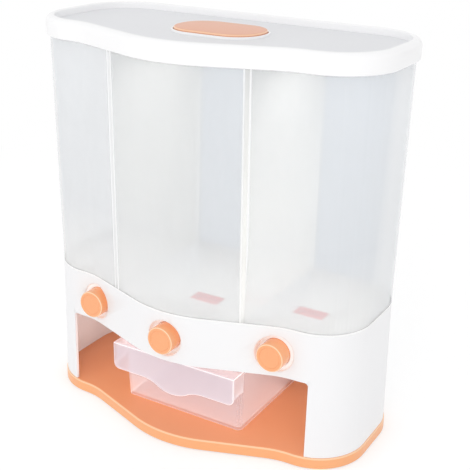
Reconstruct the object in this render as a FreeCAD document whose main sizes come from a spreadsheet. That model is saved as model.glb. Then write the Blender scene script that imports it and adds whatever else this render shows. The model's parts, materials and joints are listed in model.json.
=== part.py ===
import FreeCAD, Part
import math
import os
import Sketcher

# Rice dispenser with a serving drawer: three grain compartments over a serving bay.
# Frame: origin under the middle of the casing on the surface that it stands on,
# +X to the right, +Y to the back, +Z up, millimetres. The buttons face -Y.

sizes = {
    # plan outline of the casing, seen from above
    "width": 330.0,
    "depth": 165.3,
    "noseReach": 31.0,
    "bowTightness": 0.7594,
    "noseShare": 0.5955,
    "frontCorner": 48.5,
    "backCorner": 47.2,
    # heights of the stacked mouldings
    "footProud": 1.0,
    "trayHeight": 10.4,
    "hopperHeight": 222.4,
    "lidHeight": 17.3,
    "rimOverlap": 9.8,
    # outsets of each moulding from the plan outline
    "trayOutset": 0.85,
    "shellDraft": 1.65,
    "hopperFlare": 1.3,
    "lidOverhang": 4.6,
    # walls
    "trayWall": 2.6,
    "trayRound": 1.4,
    "shellWall": 3.0,
    "hopperWall": 2.2,
    "floorWall": 2.5,
    "lidWall": 2.5,
    # serving bay in the casing's front
    "bayHeight": 73.8,
    "bayInset": 37.0,
    "bayCorner": 3.5,
    # buttons and their pockets
    "buttonRadius": 13.0,
    "buttonReach": 13.5,
    "buttonSkin": 2.2,
    "buttonPlay": 0.3,
    "buttonRimLap": 1.6,
    "buttonRimThick": 2.0,
    "ringInset": 2.8,
    "ringWidth": 0.7,
    "ringDepth": 0.4,
    "pocketRoom": 4.0,
    "pocketWall": 1.8,
    "pocketFloor": 3.0,
    "pocketOverDeck": 0.2,
    "pocketCover": 1.5,
    "collarLength": 6.0,
    "collarWall": 2.3,
    "stemRadius": 4.0,
    "pinRadius": 2.4,
    "pinProud": 0.8,
    # stations: outlets behind the buttons
    "outletInset": 68.5,
    "sideOutletSet": 68.05,
    "centreOutletSet": 74.05,
    "pocketAhead": 66.0,
    # gates under the outlets
    "gateTravel": 10.0,
    "gateWidth": 38.0,
    "gateThick": 2.5,
    "gateRise": 2.6,
    "gateFront": 29.0,
    "gateBack": 16.0,
    "gatePlay": 0.4,
    "gateGap": 0.3,
    "tabThick": 3.0,
    "tabWidth": 16.0,
    "tabDrop": 6.0,
    "windowLength": 10.0,
    "windowLap": 1.0,
    # guides that carry the gates
    "deckSeat": 0.3,
    "deckThick": 2.5,
    "deckGap": 0.4,
    "guideFoot": 2.5,
    "guideRim": 0.7,
    "railWall": 2.0,
    "railLip": 1.5,
    "railLedge": 1.6,
    "railBack": 28.0,
    "bracketThick": 3.0,
    "bracketRise": 6.5,
    "stemPlay": 0.5,
    "chuteWidth": 30.4,
    "chuteLength": 22.0,
    "chuteWall": 1.8,
    "chuteGap": 0.3,
    "deckRibThick": 2.0,
    "deckRibRise": 6.0,
    # springs round the stems
    "springRadius": 6.5,
    "springWire": 0.5,
    "springTurns": 6.0,
    "springChords": 12.0,
    # hopper floors and outlets
    "outletWidth": 30.0,
    "outletLength": 17.0,
    "outletWall": 2.0,
    "outletDrop": 5.4,
    "flangeThick": 1.5,
    "spigotDepth": 4.0,
    "spigotGap": 0.3,
    "spigotWall": 2.2,
    "sideFloorReach": 8.35,
    "dividerInset": 98.5,
    "dividerThick": 2.2,
    "dividerDrop": 7.0,
    "dividerRoot": 4.0,
    # lid
    "lidRound": 6.0,
    "lidEdge": 0.8,
    "rimWidth": 8.0,
    "rimInnerRound": 1.4,
    "recessDepth": 6.2,
    "skirtPlay": 0.5,
    "plugPlay": 0.5,
    "plugWall": 1.8,
    "plugDepth": 4.0,
    # absorber cup and its cap, a little behind the middle of the lid
    "capSet": 8.0,
    "capWidth": 84.0,
    "capLength": 56.0,
    "capRound": 26.0,
    "capThick": 3.0,
    "capEdge": 1.4,
    "capPlay": 0.4,
    "gasketDepth": 4.0,
    "gasketWall": 1.6,
    "gasketPlay": 0.1,
    "beadWidth": 1.8,
    "beadRise": 2.0,
    "cupLip": 0.8,
    "cupInset": 4.0,
    "cupWall": 1.6,
    "cupDepth": 20.0,
    "slotLength": 14.0,
    "slotWidth": 2.0,
    "slotPitch": 6.0,
    # drawer
    "drawerPlace": -3.4,
    "drawerWidth": 127.4,
    "drawerSet": 6.05,
    "drawerBackGap": 5.0,
    "drawerHeadroom": 9.7,
    "drawerDraft": 2.6,
    "drawerWall": 2.0,
    "drawerCorner": 5.0,
    "lipReach": 16.2,
    "lipDrop": 27.0,
    "lipWave": 9.0,
    "lipWaveHalf": 33.0,
    "lipCorner": 6.0,
    # screw posts, feet and fasteners
    "postRadius": 4.5,
    "postInset": 3.0,
    "rearPostInset": 65.0,
    "pilotRadius": 1.25,
    "pilotSpare": 1.0,
    "screwRadius": 1.5,
    "screwHead": 3.0,
    "screwHeadRise": 1.8,
    "screwPlay": 0.2,
    "screwGrip": 9.0,
    "screwEdge": 1.0,
    "trayBoss": 5.0,
    "trayBossSeat": 4.6,
    "footRadius": 7.0,
    "footRecess": 1.5,
    "footWall": 1.8,
    "footInset": 45.0,
    "footSet": 20.65,
    "cornerFootSet": 23.65,
    "trayRibThick": 1.6,
    "trayRibRise": 4.0,
    "trayRibPitch": 60.0,
}

doc = FreeCAD.newDocument("RiceDispenser")
sheet = doc.addObject("Spreadsheet::Sheet", "Sizes")
for row, (alias, amount) in enumerate(sizes.items(), start=1):
    sheet.set(f"A{row}", alias)
    sheet.set(f"B{row}", str(amount))
    sheet.setAlias(f"B{row}", alias)
doc.recompute()


# A length with two sides: its value now, and the expression on the sheet that gives it.
class Term:
    def __init__(self, value, text):
        self.value = value
        self.text = text

    def join(self, other, sign, value):
        return Term(value, f"({self.text} {sign} {asTerm(other).text})")

    def __add__(self, other):
        return self.join(other, "+", self.value + asTerm(other).value)

    def __sub__(self, other):
        return self.join(other, "-", self.value - asTerm(other).value)

    def __mul__(self, other):
        return self.join(other, "*", self.value * asTerm(other).value)

    def __truediv__(self, other):
        return self.join(other, "/", self.value / asTerm(other).value)

    def __neg__(self):
        return Term(-self.value, f"(0 - {self.text})")


def asTerm(amount):
    return amount if isinstance(amount, Term) else Term(float(amount), str(amount))


class SizeBook:
    def __getattr__(self, alias):
        return Term(sizes[alias], "Sizes." + alias)


s = SizeBook()
zero = asTerm(0)
full = 360.0
diagonal = math.sqrt(0.5)


def bind(thing, prop, term):
    thing.setExpression(prop, asTerm(term).text)


# ---- levels, from the ground up ----
trayBase = s.footProud
trayTop = trayBase + s.trayHeight
bayTop = trayTop + s.bayHeight
deckBase = bayTop + s.deckSeat
deckTop = deckBase + s.deckThick
guideTop = deckTop + s.guideFoot
pocketRadius = s.buttonRadius + s.pocketRoom
buttonLevel = deckTop + s.pocketOverDeck + s.pocketWall + pocketRadius
gateBase = buttonLevel + s.gateRise
gateTop = gateBase + s.gateThick
floorLow = gateTop + s.outletDrop
shellTop = buttonLevel + pocketRadius + s.pocketWall + s.pocketCover + s.spigotDepth
hopperBase = shellTop + s.flangeThick
lidBase = shellTop + s.hopperHeight
lidTop = lidBase + s.lidHeight
hopperRim = lidBase + s.rimOverlap
lidPanelTop = lidTop - s.recessDepth
lidPanelBase = lidPanelTop - s.lidWall

# ---- outsets of the mouldings from the plan outline ----
shellTopOutset = -s.shellDraft
deckShare = (deckTop - trayTop) / (shellTop - trayTop)
deckOutset = -(s.shellWall + s.deckGap + s.shellDraft * deckShare)
spigotOutset = -(s.shellDraft + s.shellWall + s.spigotGap)

# ---- plan lines: the nose is foremost, and the waists lie behind it by its reach ----
sideLine = s.width / 2
backLine = s.depth / 2
waistFront = backLine - s.noseReach
stationSpan = sideLine - s.outletInset
dividerPlace = sideLine - s.dividerInset
drawerFront = waistFront - s.drawerSet

# The nose and the two waists touch one another where their radii add up to this limit.
# A tightness under 1 leaves a straight flank between them.
waistAcross = sideLine - s.frontCorner
bowLimit = (waistAcross * waistAcross + s.noseReach * s.noseReach) / (s.noseReach * 2)
noseRadius = bowLimit * s.bowTightness * s.noseShare
waistRadius = bowLimit * s.bowTightness - noseRadius

# ---- the three stations: name, place across, place of the outlet's middle ----
stations = [
    ("left", -stationSpan, s.sideOutletSet - waistFront),
    ("centre", zero, s.centreOutletSet - backLine),
    ("right", stationSpan, s.sideOutletSet - waistFront),
]


# ---- sketches ----
def newBody(label):
    return doc.addObject("PartDesign::Body", label)


def newSketch(body, name, role, level):
    sketch = body.newObject("Sketcher::SketchObject", name)
    plane = [item for item in body.Origin.OriginFeatures if item.Role == role][0]
    sketch.AttachmentSupport = [(plane, "")]
    sketch.MapMode = "FlatFace"
    bind(sketch, "AttachmentOffset.Base.z", level)
    return sketch


def addLine(sketch, x0, y0, x1, y1):
    start = FreeCAD.Vector(x0, y0, 0)
    return sketch.addGeometry(Part.LineSegment(start, FreeCAD.Vector(x1, y1, 0)), False)


def addArc(sketch, x, y, radius, start, end):
    circle = Part.Circle(FreeCAD.Vector(x, y, 0), FreeCAD.Vector(0, 0, 1), radius)
    return sketch.addGeometry(Part.ArcOfCircle(circle, start, end), False)


def dimension(sketch, kind, *parts):
    amount = asTerm(parts[-1])
    index = sketch.addConstraint(Sketcher.Constraint(kind, *parts[:-1], amount.value))
    bind(sketch, f"Constraints[{index}]", amount)


def relate(sketch, kind, *parts):
    sketch.addConstraint(Sketcher.Constraint(kind, *parts))


def placePoint(sketch, edge, end, x, y):
    if x is not None:
        dimension(sketch, "DistanceX", -1, 1, edge, end, x)
    if y is not None:
        dimension(sketch, "DistanceY", -1, 1, edge, end, y)


# A closed run of straight edges through the given corners.
def polygon(sketch, corners):
    edges = []
    for here, there in zip(corners, corners[1:] + corners[:1]):
        edges.append(addLine(sketch, here[0].value, here[1].value, there[0].value, there[1].value))
    for edge, following in zip(edges, edges[1:] + edges[:1]):
        relate(sketch, "Coincident", edge, 2, following, 1)
    for edge, corner in zip(edges, corners):
        placePoint(sketch, edge, 1, corner[0], corner[1])


def rectangle(sketch, left, right, front, back):
    polygon(sketch, [(left, front), (right, front), (right, back), (left, back)])


def circle(sketch, x, y, radius):
    centre = FreeCAD.Vector(asTerm(x).value, asTerm(y).value, 0)
    shape = Part.Circle(centre, FreeCAD.Vector(0, 0, 1), asTerm(radius).value)
    edge = sketch.addGeometry(shape, False)
    placePoint(sketch, edge, 3, asTerm(x), asTerm(y))
    dimension(sketch, "Radius", edge, radius)


# A rectangle with four equal rounded corners, tangent all the way round.
def roundedRectangle(sketch, left, right, front, back, radius):
    x0, x1, y0, y1, r = (term.value for term in (left, right, front, back, radius))
    quarter = math.pi / 2
    bottom = addLine(sketch, x0 + r, y0, x1 - r, y0)
    corner1 = addArc(sketch, x1 - r, y0 + r, r, -quarter, 0)
    side1 = addLine(sketch, x1, y0 + r, x1, y1 - r)
    corner2 = addArc(sketch, x1 - r, y1 - r, r, 0, quarter)
    top = addLine(sketch, x1 - r, y1, x0 + r, y1)
    corner3 = addArc(sketch, x0 + r, y1 - r, r, quarter, 2 * quarter)
    side2 = addLine(sketch, x0, y1 - r, x0, y0 + r)
    corner4 = addArc(sketch, x0 + r, y0 + r, r, 2 * quarter, 3 * quarter)
    ring = [bottom, corner1, side1, corner2, top, corner3, side2, corner4]
    for edge, following in zip(ring, ring[1:] + ring[:1]):
        relate(sketch, "Tangent", edge, 2, following, 1)
    for edge in (bottom, top):
        relate(sketch, "Horizontal", edge)
    for edge in (side1, side2):
        relate(sketch, "Vertical", edge)
    for edge in (corner2, corner3, corner4):
        relate(sketch, "Equal", corner1, edge)
    dimension(sketch, "Radius", corner1, radius)
    placePoint(sketch, side2, 1, left, None)
    placePoint(sketch, side1, 1, right, None)
    placePoint(sketch, bottom, 1, None, front)
    placePoint(sketch, top, 1, None, back)


# The plan outline, moved outwards by an outset: a bow nose, straight flanks, hollow
# waists, round front corners, straight sides, round back corners and a flat back.
def outline(sketch, outset):
    side = sideLine + outset
    backEnd = backLine + outset
    waistEnd = -(waistFront + outset)
    noseBend = noseRadius + outset
    waistBend = waistRadius - outset
    frontBend = s.frontCorner + outset
    backBend = s.backCorner + outset
    noseCentre = noseRadius - backLine
    wide, back, waist = side.value, backEnd.value, waistEnd.value
    nose, hollow = noseBend.value, waistBend.value
    front, rear = frontBend.value, backBend.value
    across = waistAcross.value
    waistCentre = waist - hollow
    rise = noseCentre.value - waistCentre
    reach = math.hypot(across, rise)
    flank = math.sqrt(reach ** 2 - (nose + hollow) ** 2)
    slope = math.atan2(across, rise) - math.atan2(flank, nose + hollow)
    quarter = math.pi / 2
    noseX, noseY = nose * math.sin(slope), noseCentre.value - nose * math.cos(slope)
    waistX = across - hollow * math.sin(slope)
    waistY = waistCentre + hollow * math.cos(slope)
    bow = addArc(sketch, 0, noseCentre.value, nose, -quarter - slope, -quarter + slope)
    flankR = addLine(sketch, noseX, noseY, waistX, waistY)
    waistR = addArc(sketch, across, waistCentre, hollow, quarter, quarter + slope)
    frontR = addArc(sketch, across, waist + front, front, -quarter, 0)
    sideR = addLine(sketch, wide, waist + front, wide, back - rear)
    backR = addArc(sketch, wide - rear, back - rear, rear, 0, quarter)
    backEdge = addLine(sketch, wide - rear, back, rear - wide, back)
    backL = addArc(sketch, rear - wide, back - rear, rear, quarter, 2 * quarter)
    sideL = addLine(sketch, -wide, back - rear, -wide, waist + front)
    frontL = addArc(sketch, -across, waist + front, front, 2 * quarter, 3 * quarter)
    waistL = addArc(sketch, -across, waistCentre, hollow, quarter - slope, quarter)
    flankL = addLine(sketch, -waistX, waistY, -noseX, noseY)
    joints = [
        (bow, 2, flankR, 1), (flankR, 2, waistR, 2), (waistR, 1, frontR, 1),
        (frontR, 2, sideR, 1), (sideR, 2, backR, 1), (backR, 2, backEdge, 1),
        (backEdge, 2, backL, 1), (backL, 2, sideL, 1), (sideL, 2, frontL, 1),
        (frontL, 2, waistL, 2), (waistL, 1, flankL, 1), (flankL, 2, bow, 1),
    ]
    for joint in joints:
        relate(sketch, "Tangent", *joint)
    relate(sketch, "Horizontal", backEdge)
    relate(sketch, "Vertical", sideR)
    relate(sketch, "Vertical", sideL)
    relate(sketch, "Equal", waistR, waistL)
    relate(sketch, "Equal", frontR, frontL)
    relate(sketch, "Equal", backR, backL)
    relate(sketch, "Vertical", frontR, 1, frontR, 3)
    relate(sketch, "Vertical", frontL, 2, frontL, 3)
    relate(sketch, "PointOnObject", bow, 3, -2)
    dimension(sketch, "DistanceY", -1, 1, bow, 3, noseCentre)
    dimension(sketch, "Radius", bow, noseBend)
    dimension(sketch, "Radius", waistR, waistBend)
    dimension(sketch, "Radius", frontR, frontBend)
    dimension(sketch, "Radius", backR, backBend)
    placePoint(sketch, sideR, 1, side, None)
    placePoint(sketch, sideL, 1, -side, None)
    placePoint(sketch, backEdge, 1, None, backEnd)
    placePoint(sketch, frontR, 1, None, waistEnd)
    placePoint(sketch, frontL, 2, None, waistEnd)


# ---- features ----
# Each takes a draw function that fills a new sketch. On XY_Plane a level is a height,
# and on XZ_Plane it is a distance towards the front.
def pad(body, name, role, level, length, draw):
    sketch = newSketch(body, name + "Sketch", role, level)
    draw(sketch)
    feature = body.newObject("PartDesign::Pad", name)
    feature.Profile = sketch
    bind(feature, "Length", length)
    return feature


# A pocket goes from its level against the sketch's normal: down, or to the back.
def pocket(body, name, role, level, length, draw):
    sketch = newSketch(body, name + "Sketch", role, level)
    draw(sketch)
    feature = body.newObject("PartDesign::Pocket", name)
    feature.Profile = sketch
    bind(feature, "Length", length)
    return feature


def loft(body, name, sections, kind="PartDesign::AdditiveLoft"):
    sketches = []
    for number, (level, draw) in enumerate(sections):
        sketch = newSketch(body, f"{name}Sketch{number}", "XY_Plane", level)
        draw(sketch)
        sketches.append(sketch)
    feature = body.newObject(kind, name)
    feature.Profile = sketches[0]
    feature.Sections = sketches[1:]
    feature.Ruled = True
    return feature


def revolve(body, name, draw):
    sketch = newSketch(body, name + "Sketch", "YZ_Plane", zero)
    draw(sketch)
    feature = body.newObject("PartDesign::Revolution", name)
    feature.Profile = sketch
    feature.ReferenceAxis = (sketch, ["H_Axis"])
    feature.Angle = full
    return feature


# Rounds the edges of a body's shape that the test picks out.
def roundEdges(body, name, base, radius, choose):
    doc.recompute()
    names = [f"Edge{i}" for i, edge in enumerate(base.Shape.Edges, start=1) if choose(edge)]
    feature = body.newObject("PartDesign::Fillet", name)
    feature.Base = (base, names)
    bind(feature, "Radius", radius)
    return feature


# Two places nearer to each other than this count as one.
slack = 0.01


def liesAt(height):
    def test(edge):
        box = edge.BoundBox
        return abs(box.ZMin - height.value) < slack and abs(box.ZMax - height.value) < slack

    return test


def place(thing, x, y):
    bind(thing, "Placement.Base.x", x)
    bind(thing, "Placement.Base.y", y)


def box(name, left, right, front, back, low, high):
    thing = doc.addObject("Part::Box", name)
    bind(thing, "Length", right - left)
    bind(thing, "Width", back - front)
    bind(thing, "Height", high - low)
    bind(thing, "Placement.Base.x", left)
    bind(thing, "Placement.Base.y", front)
    bind(thing, "Placement.Base.z", low)
    return thing


# A cylinder along Y, from a front place to a back place.
def barrel(name, x, front, back, level, radius):
    thing = doc.addObject("Part::Cylinder", name)
    turn = FreeCAD.Rotation(FreeCAD.Vector(1, 0, 0), -90)
    thing.Placement = FreeCAD.Placement(FreeCAD.Vector(0, 0, 0), turn)
    bind(thing, "Radius", radius)
    bind(thing, "Height", back - front)
    bind(thing, "Placement.Base.x", x)
    bind(thing, "Placement.Base.y", front)
    bind(thing, "Placement.Base.z", level)
    return thing


def upright(name, x, y, low, high, radius):
    thing = doc.addObject("Part::Cylinder", name)
    bind(thing, "Radius", radius)
    bind(thing, "Height", high - low)
    place(thing, x, y)
    bind(thing, "Placement.Base.z", low)
    return thing


def cut(label, base, tool):
    thing = doc.addObject("Part::Cut", label)
    thing.Base = base
    thing.Tool = tool
    return thing


def fuse(label, things):
    thing = doc.addObject("Part::MultiFuse", label)
    thing.Shapes = things
    return thing


def common(label, things):
    thing = doc.addObject("Part::MultiCommon", label)
    thing.Shapes = things
    return thing


# A pyramid with a flat top and bottom, wide end up.
def funnel(name, small, wide, low, high):
    thing = doc.addObject("Part::Wedge", name)
    turn = FreeCAD.Rotation(FreeCAD.Vector(1, 0, 0), 90)
    thing.Placement = FreeCAD.Placement(FreeCAD.Vector(0, 0, 0), turn)
    bind(thing, "Ymin", low)
    bind(thing, "Ymax", high)
    bind(thing, "Xmin", small[0])
    bind(thing, "Xmax", small[1])
    bind(thing, "Zmin", -small[3])
    bind(thing, "Zmax", -small[2])
    bind(thing, "X2min", wide[0])
    bind(thing, "X2max", wide[1])
    bind(thing, "Z2min", -wide[3])
    bind(thing, "Z2max", -wide[2])
    return thing


nodes = {}


def keep(name, thing):
    thing.Label = name
    nodes[name] = thing
    return thing


# ---- places of screws and feet ----
# Corner posts stand on the diagonals of the plan's corners, the same way in from the wall.
postDepth = s.shellWall + s.postInset
frontCut = (s.frontCorner - postDepth) * diagonal - s.frontCorner
backCut = (s.backCorner - postDepth) * diagonal - s.backCorner
rearPostY = backLine - postDepth
posts = []
feetPlaces = [(zero, s.footSet - backLine)]
for side in (-1, 1):
    posts.append(((sideLine + frontCut) * side, -(waistFront + frontCut)))
    posts.append(((sideLine + backCut) * side, backLine + backCut))
    posts.append(((sideLine - s.rearPostInset) * side, rearPostY))
    footAcross = (sideLine - s.footInset) * side
    feetPlaces.append((footAcross, s.cornerFootSet - waistFront))
    feetPlaces.append((footAcross, backLine - s.footSet))


# ---- base tray: a shallow pan turned over, with ribs, screw bosses and foot sockets ----
def makeTray():
    body = newBody("base_tray")
    base = pad(body, "trayBlock", "XY_Plane", trayBase, s.trayHeight,
               lambda k: outline(k, s.trayOutset))
    roundEdges(body, "trayEdge", base, s.trayRound, liesAt(trayTop))
    plateBase = trayTop - s.trayWall
    pocket(body, "trayHollow", "XY_Plane", plateBase, s.trayHeight - s.trayWall,
           lambda k: outline(k, s.trayOutset - s.trayWall))

    def drawRibs(sketch):
        half = s.trayRibThick / 2
        reach = backLine - s.trayWall - s.backCorner / 4
        for step in (-2, -1, 1, 2):
            middle = s.trayRibPitch * step
            rectangle(sketch, middle - half, middle + half, s.noseReach - reach, reach)

    pad(body, "trayRibs", "XY_Plane", plateBase - s.trayRibRise, s.trayRibRise, drawRibs)

    def drawBosses(sketch):
        for x, y in posts:
            circle(sketch, x, y, s.trayBoss)
        for x, y in feetPlaces:
            circle(sketch, x, y, s.footRadius + s.footWall)

    pad(body, "trayBosses", "XY_Plane", trayBase, s.trayHeight - s.trayWall, drawBosses)

    def drawSockets(sketch):
        for x, y in feetPlaces:
            circle(sketch, x, y, s.footRadius)

    pocket(body, "footSockets", "XY_Plane", trayBase + s.footRecess, s.footRecess, drawSockets)

    def drawHeads(sketch):
        for x, y in posts:
            circle(sketch, x, y, s.screwHead + s.screwPlay)

    pocket(body, "screwSeats", "XY_Plane", trayTop - s.trayBossSeat,
           s.trayHeight - s.trayBossSeat, drawHeads)

    def drawShanks(sketch):
        for x, y in posts:
            circle(sketch, x, y, s.screwRadius + s.screwPlay)

    pocket(body, "screwWays", "XY_Plane", trayTop, s.trayHeight, drawShanks)
    keep("base_tray", body)


# ---- casing: tapered wall, wide bay, pockets and collars for the buttons, screw posts ----
def makeShell():
    outer = newBody("shellOuter")
    loft(outer, "shellOuterLoft", [
        (trayTop, lambda k: outline(k, zero)),
        (shellTop, lambda k: outline(k, shellTopOutset)),
    ])
    inner = newBody("shellInner")
    loft(inner, "shellInnerLoft", [
        (trayTop, lambda k: outline(k, -s.shellWall)),
        (shellTop, lambda k: outline(k, shellTopOutset - s.shellWall)),
    ])
    cups, collars, pockets, ways = [], [], [], []
    front = -s.depth
    for name, x, y in stations:
        floor = y - s.pocketAhead
        cups.append(barrel(name + "Cup", x, front, floor + s.pocketFloor, buttonLevel,
                           pocketRadius + s.pocketWall))
        collars.append(barrel(name + "Collar", x, floor, floor + s.pocketFloor + s.collarLength,
                              buttonLevel, s.buttonRadius + s.buttonPlay + s.collarWall))
        pockets.append(barrel(name + "Pocket", x, front, floor, buttonLevel, pocketRadius))
        ways.append(barrel(name + "Way", x, front, y, buttonLevel,
                           s.buttonRadius + s.buttonPlay))
    trimmedCups = common("cupsInWall", [outer, fuse("cups", cups)])
    postSolids = []
    for number, (x, y) in enumerate(posts):
        postSolids.append(upright(f"post{number}", x, y, trayTop, deckBase, s.postRadius))
    trimmedPosts = common("postsInWall", [outer, fuse("posts", postSolids)])
    wall = cut("shellWallSolid", outer, inner)
    whole = fuse("shellWhole", [wall, trimmedCups, trimmedPosts] + collars)
    bay = newBody("bayCutter")
    half = sideLine - s.bayInset
    pad(bay, "bayBlock", "XZ_Plane", zero, s.depth,
        lambda k: roundedRectangle(k, -half, half, trayTop - s.trayHeight, bayTop, s.bayCorner))
    bind(bay, "Placement.Base.y", s.frontCorner / 2 - waistFront)
    pilots = []
    for number, (x, y) in enumerate(posts):
        pilots.append(upright(f"pilot{number}", x, y, trayTop - s.pilotSpare,
                              deckBase + s.pilotSpare, s.pilotRadius))
    tools = fuse("shellTools", pockets + ways + pilots + [bay])
    keep("base_shell", cut("base_shell", whole, tools))


# ---- outlet deck: the bay's ceiling, which carries the three guides ----
screwsAcross = s.gateWidth / 2 + s.gatePlay + s.railWall + s.screwHead + s.screwPlay * 2
guideHalf = screwsAcross + s.screwHead + s.guideRim
guideScrewsBack = s.railBack - s.screwHead - s.screwEdge
guideScrewsFront = -(s.gateFront - s.tabThick)
guideScrews = [(-screwsAcross, guideScrewsFront), (screwsAcross, guideScrewsBack)]
chuteHalf = s.chuteWidth / 2 + s.chuteWall
chuteReach = s.chuteLength / 2 + s.chuteWall


def makeDeck():
    body = newBody("deckPlate")
    pad(body, "deckSlab", "XY_Plane", deckBase, s.deckThick, lambda k: outline(k, deckOutset))

    def drawRibs(sketch):
        half = s.deckRibThick / 2
        for side in (-1, 1):
            middle = stationSpan * side / 2
            rectangle(sketch, middle - half, middle + half, -drawerFront, rearPostY)

    pad(body, "deckRibs", "XY_Plane", deckTop, s.deckRibRise, drawRibs)

    def drawChutes(sketch):
        for name, x, y in stations:
            wide, long = chuteHalf + s.chuteGap, chuteReach + s.chuteGap
            rectangle(sketch, x - wide, x + wide, y - long, y + long)

    pocket(body, "chuteHoles", "XY_Plane", deckTop, s.deckThick, drawChutes)

    def drawScrews(sketch):
        for x, y in posts:
            circle(sketch, x, y, s.screwRadius + s.screwPlay)
        for name, x, y in stations:
            for across, along in guideScrews:
                circle(sketch, x + across, y + along, s.pilotRadius)

    pocket(body, "deckScrewHoles", "XY_Plane", deckTop, s.deckThick, drawScrews)
    notches = []
    for name, x, y in stations:
        notches.append(barrel(name + "Notch", x, -s.depth, y - s.pocketAhead + s.pocketFloor
                              + s.deckGap, buttonLevel,
                              pocketRadius + s.pocketWall + s.deckGap))
    keep("outlet_deck", cut("outlet_deck", body, fuse("deckNotches", notches)))


# ---- guide: foot plate, chute, two C rails and the bracket that stops the spring ----
def makeGuide(name, x, y):
    label = name + "_guide"
    body = newBody(label)
    bracketFront = -(s.gateFront + s.gateTravel / 2)
    pad(body, label + "Foot", "XY_Plane", deckTop, s.guideFoot,
        lambda k: roundedRectangle(k, -guideHalf, guideHalf, bracketFront, s.railBack,
                                   s.screwHead))
    pad(body, label + "Chute", "XY_Plane", deckBase, gateBase - s.gateGap - deckBase,
        lambda k: rectangle(k, -chuteHalf, chuteHalf, -chuteReach, chuteReach))

    slotHalf = s.gateWidth / 2 + s.gatePlay
    ledge = slotHalf - s.gatePlay - s.railLedge
    outerHalf = slotHalf + s.railWall
    slotLow = gateBase - s.gateGap
    slotHigh = gateTop + s.gateGap
    lipTop = slotHigh + s.railLip

    def drawRails(sketch):
        for side in (-1, 1):
            corners = [
                (ledge, guideTop), (outerHalf, guideTop), (outerHalf, lipTop), (ledge, lipTop),
                (ledge, slotHigh), (slotHalf, slotHigh), (slotHalf, slotLow), (ledge, slotLow),
            ]
            polygon(sketch, [(across * side, level) for across, level in corners])

    pad(body, label + "Rails", "XZ_Plane", -s.railBack, s.railBack - bracketFront, drawRails)
    bracketTop = buttonLevel + s.bracketRise
    pad(body, label + "Bracket", "XZ_Plane", -(bracketFront + s.bracketThick), s.bracketThick,
        lambda k: rectangle(k, -ledge, ledge, guideTop, bracketTop))
    pocket(body, label + "StemWay", "XZ_Plane", -bracketFront, s.bracketThick,
           lambda k: circle(k, zero, buttonLevel, s.stemRadius + s.stemPlay))
    pocket(body, label + "ChuteBore", "XY_Plane", gateTop, gateTop - deckBase,
           lambda k: rectangle(k, -s.chuteWidth / 2, s.chuteWidth / 2,
                               -s.chuteLength / 2, s.chuteLength / 2))

    def drawScrews(sketch):
        for across, along in guideScrews:
            circle(sketch, across, along, s.screwRadius + s.screwPlay)

    pocket(body, label + "ScrewWays", "XY_Plane", guideTop, s.guideFoot, drawScrews)
    place(body, x, y)
    keep(label, body)


# ---- gate: a plate with a window, and a tab that the button's stem snaps into ----
def makeGate(name, x, y):
    label = name + "_gate"
    body = newBody(label)
    half = s.gateWidth / 2
    windowBack = -(s.outletLength / 2 + s.windowLap)
    pad(body, label + "Plate", "XY_Plane", gateBase, s.gateThick,
        lambda k: rectangle(k, -half, half, -s.gateFront, s.gateBack))
    tabLow = buttonLevel - s.tabDrop
    pad(body, label + "Tab", "XZ_Plane", s.gateFront - s.tabThick, s.tabThick,
        lambda k: rectangle(k, -s.tabWidth / 2, s.tabWidth / 2, tabLow, gateBase))
    pocket(body, label + "Window", "XY_Plane", gateTop, s.gateThick,
           lambda k: rectangle(k, -s.outletWidth / 2, s.outletWidth / 2,
                               windowBack - s.windowLength, windowBack))
    pocket(body, label + "PinHole", "XZ_Plane", s.gateFront, s.tabThick,
           lambda k: circle(k, zero, buttonLevel, s.pinRadius))
    place(body, x, y)
    keep(label, body)


# ---- button: a hollow cap with a rounded face, a stop rim, a stem and a snap pin ----
def makeButton(name, x, y):
    label = name + "_button"
    body = newBody(label)
    face = -(s.pocketAhead + s.buttonReach)
    rimFront = -(s.pocketAhead - s.pocketFloor - s.collarLength)
    rimBack = rimFront + s.buttonRimThick
    inside = face + s.buttonSkin
    boreRadius = s.buttonRadius - s.buttonSkin

    def drawProfile(sketch):
        ringIn = s.buttonRadius - s.ringInset
        ringOut = ringIn + s.ringWidth
        ringLow = face + s.ringDepth
        rimRadius = s.buttonRadius + s.buttonRimLap
        pinEnd = -s.gateFront + s.tabThick + s.pinProud
        corners = [
            (face, zero), (face, ringIn), (ringLow, ringIn), (ringLow, ringOut),
            (face, ringOut), (face, s.buttonRadius - s.ringDepth),
            (ringLow, s.buttonRadius), (rimFront, s.buttonRadius),
            (rimFront, rimRadius), (rimBack, rimRadius),
            (rimBack, boreRadius), (inside, boreRadius), (inside, s.stemRadius),
            (-s.gateFront, s.stemRadius), (-s.gateFront, s.pinRadius),
            (pinEnd, s.pinRadius), (pinEnd, zero),
        ]
        polygon(sketch, corners)

    revolve(body, label + "Turned", drawProfile)
    bind(body, "Placement.Base.z", buttonLevel)
    place(body, x, y)
    keep(label, body)


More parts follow.
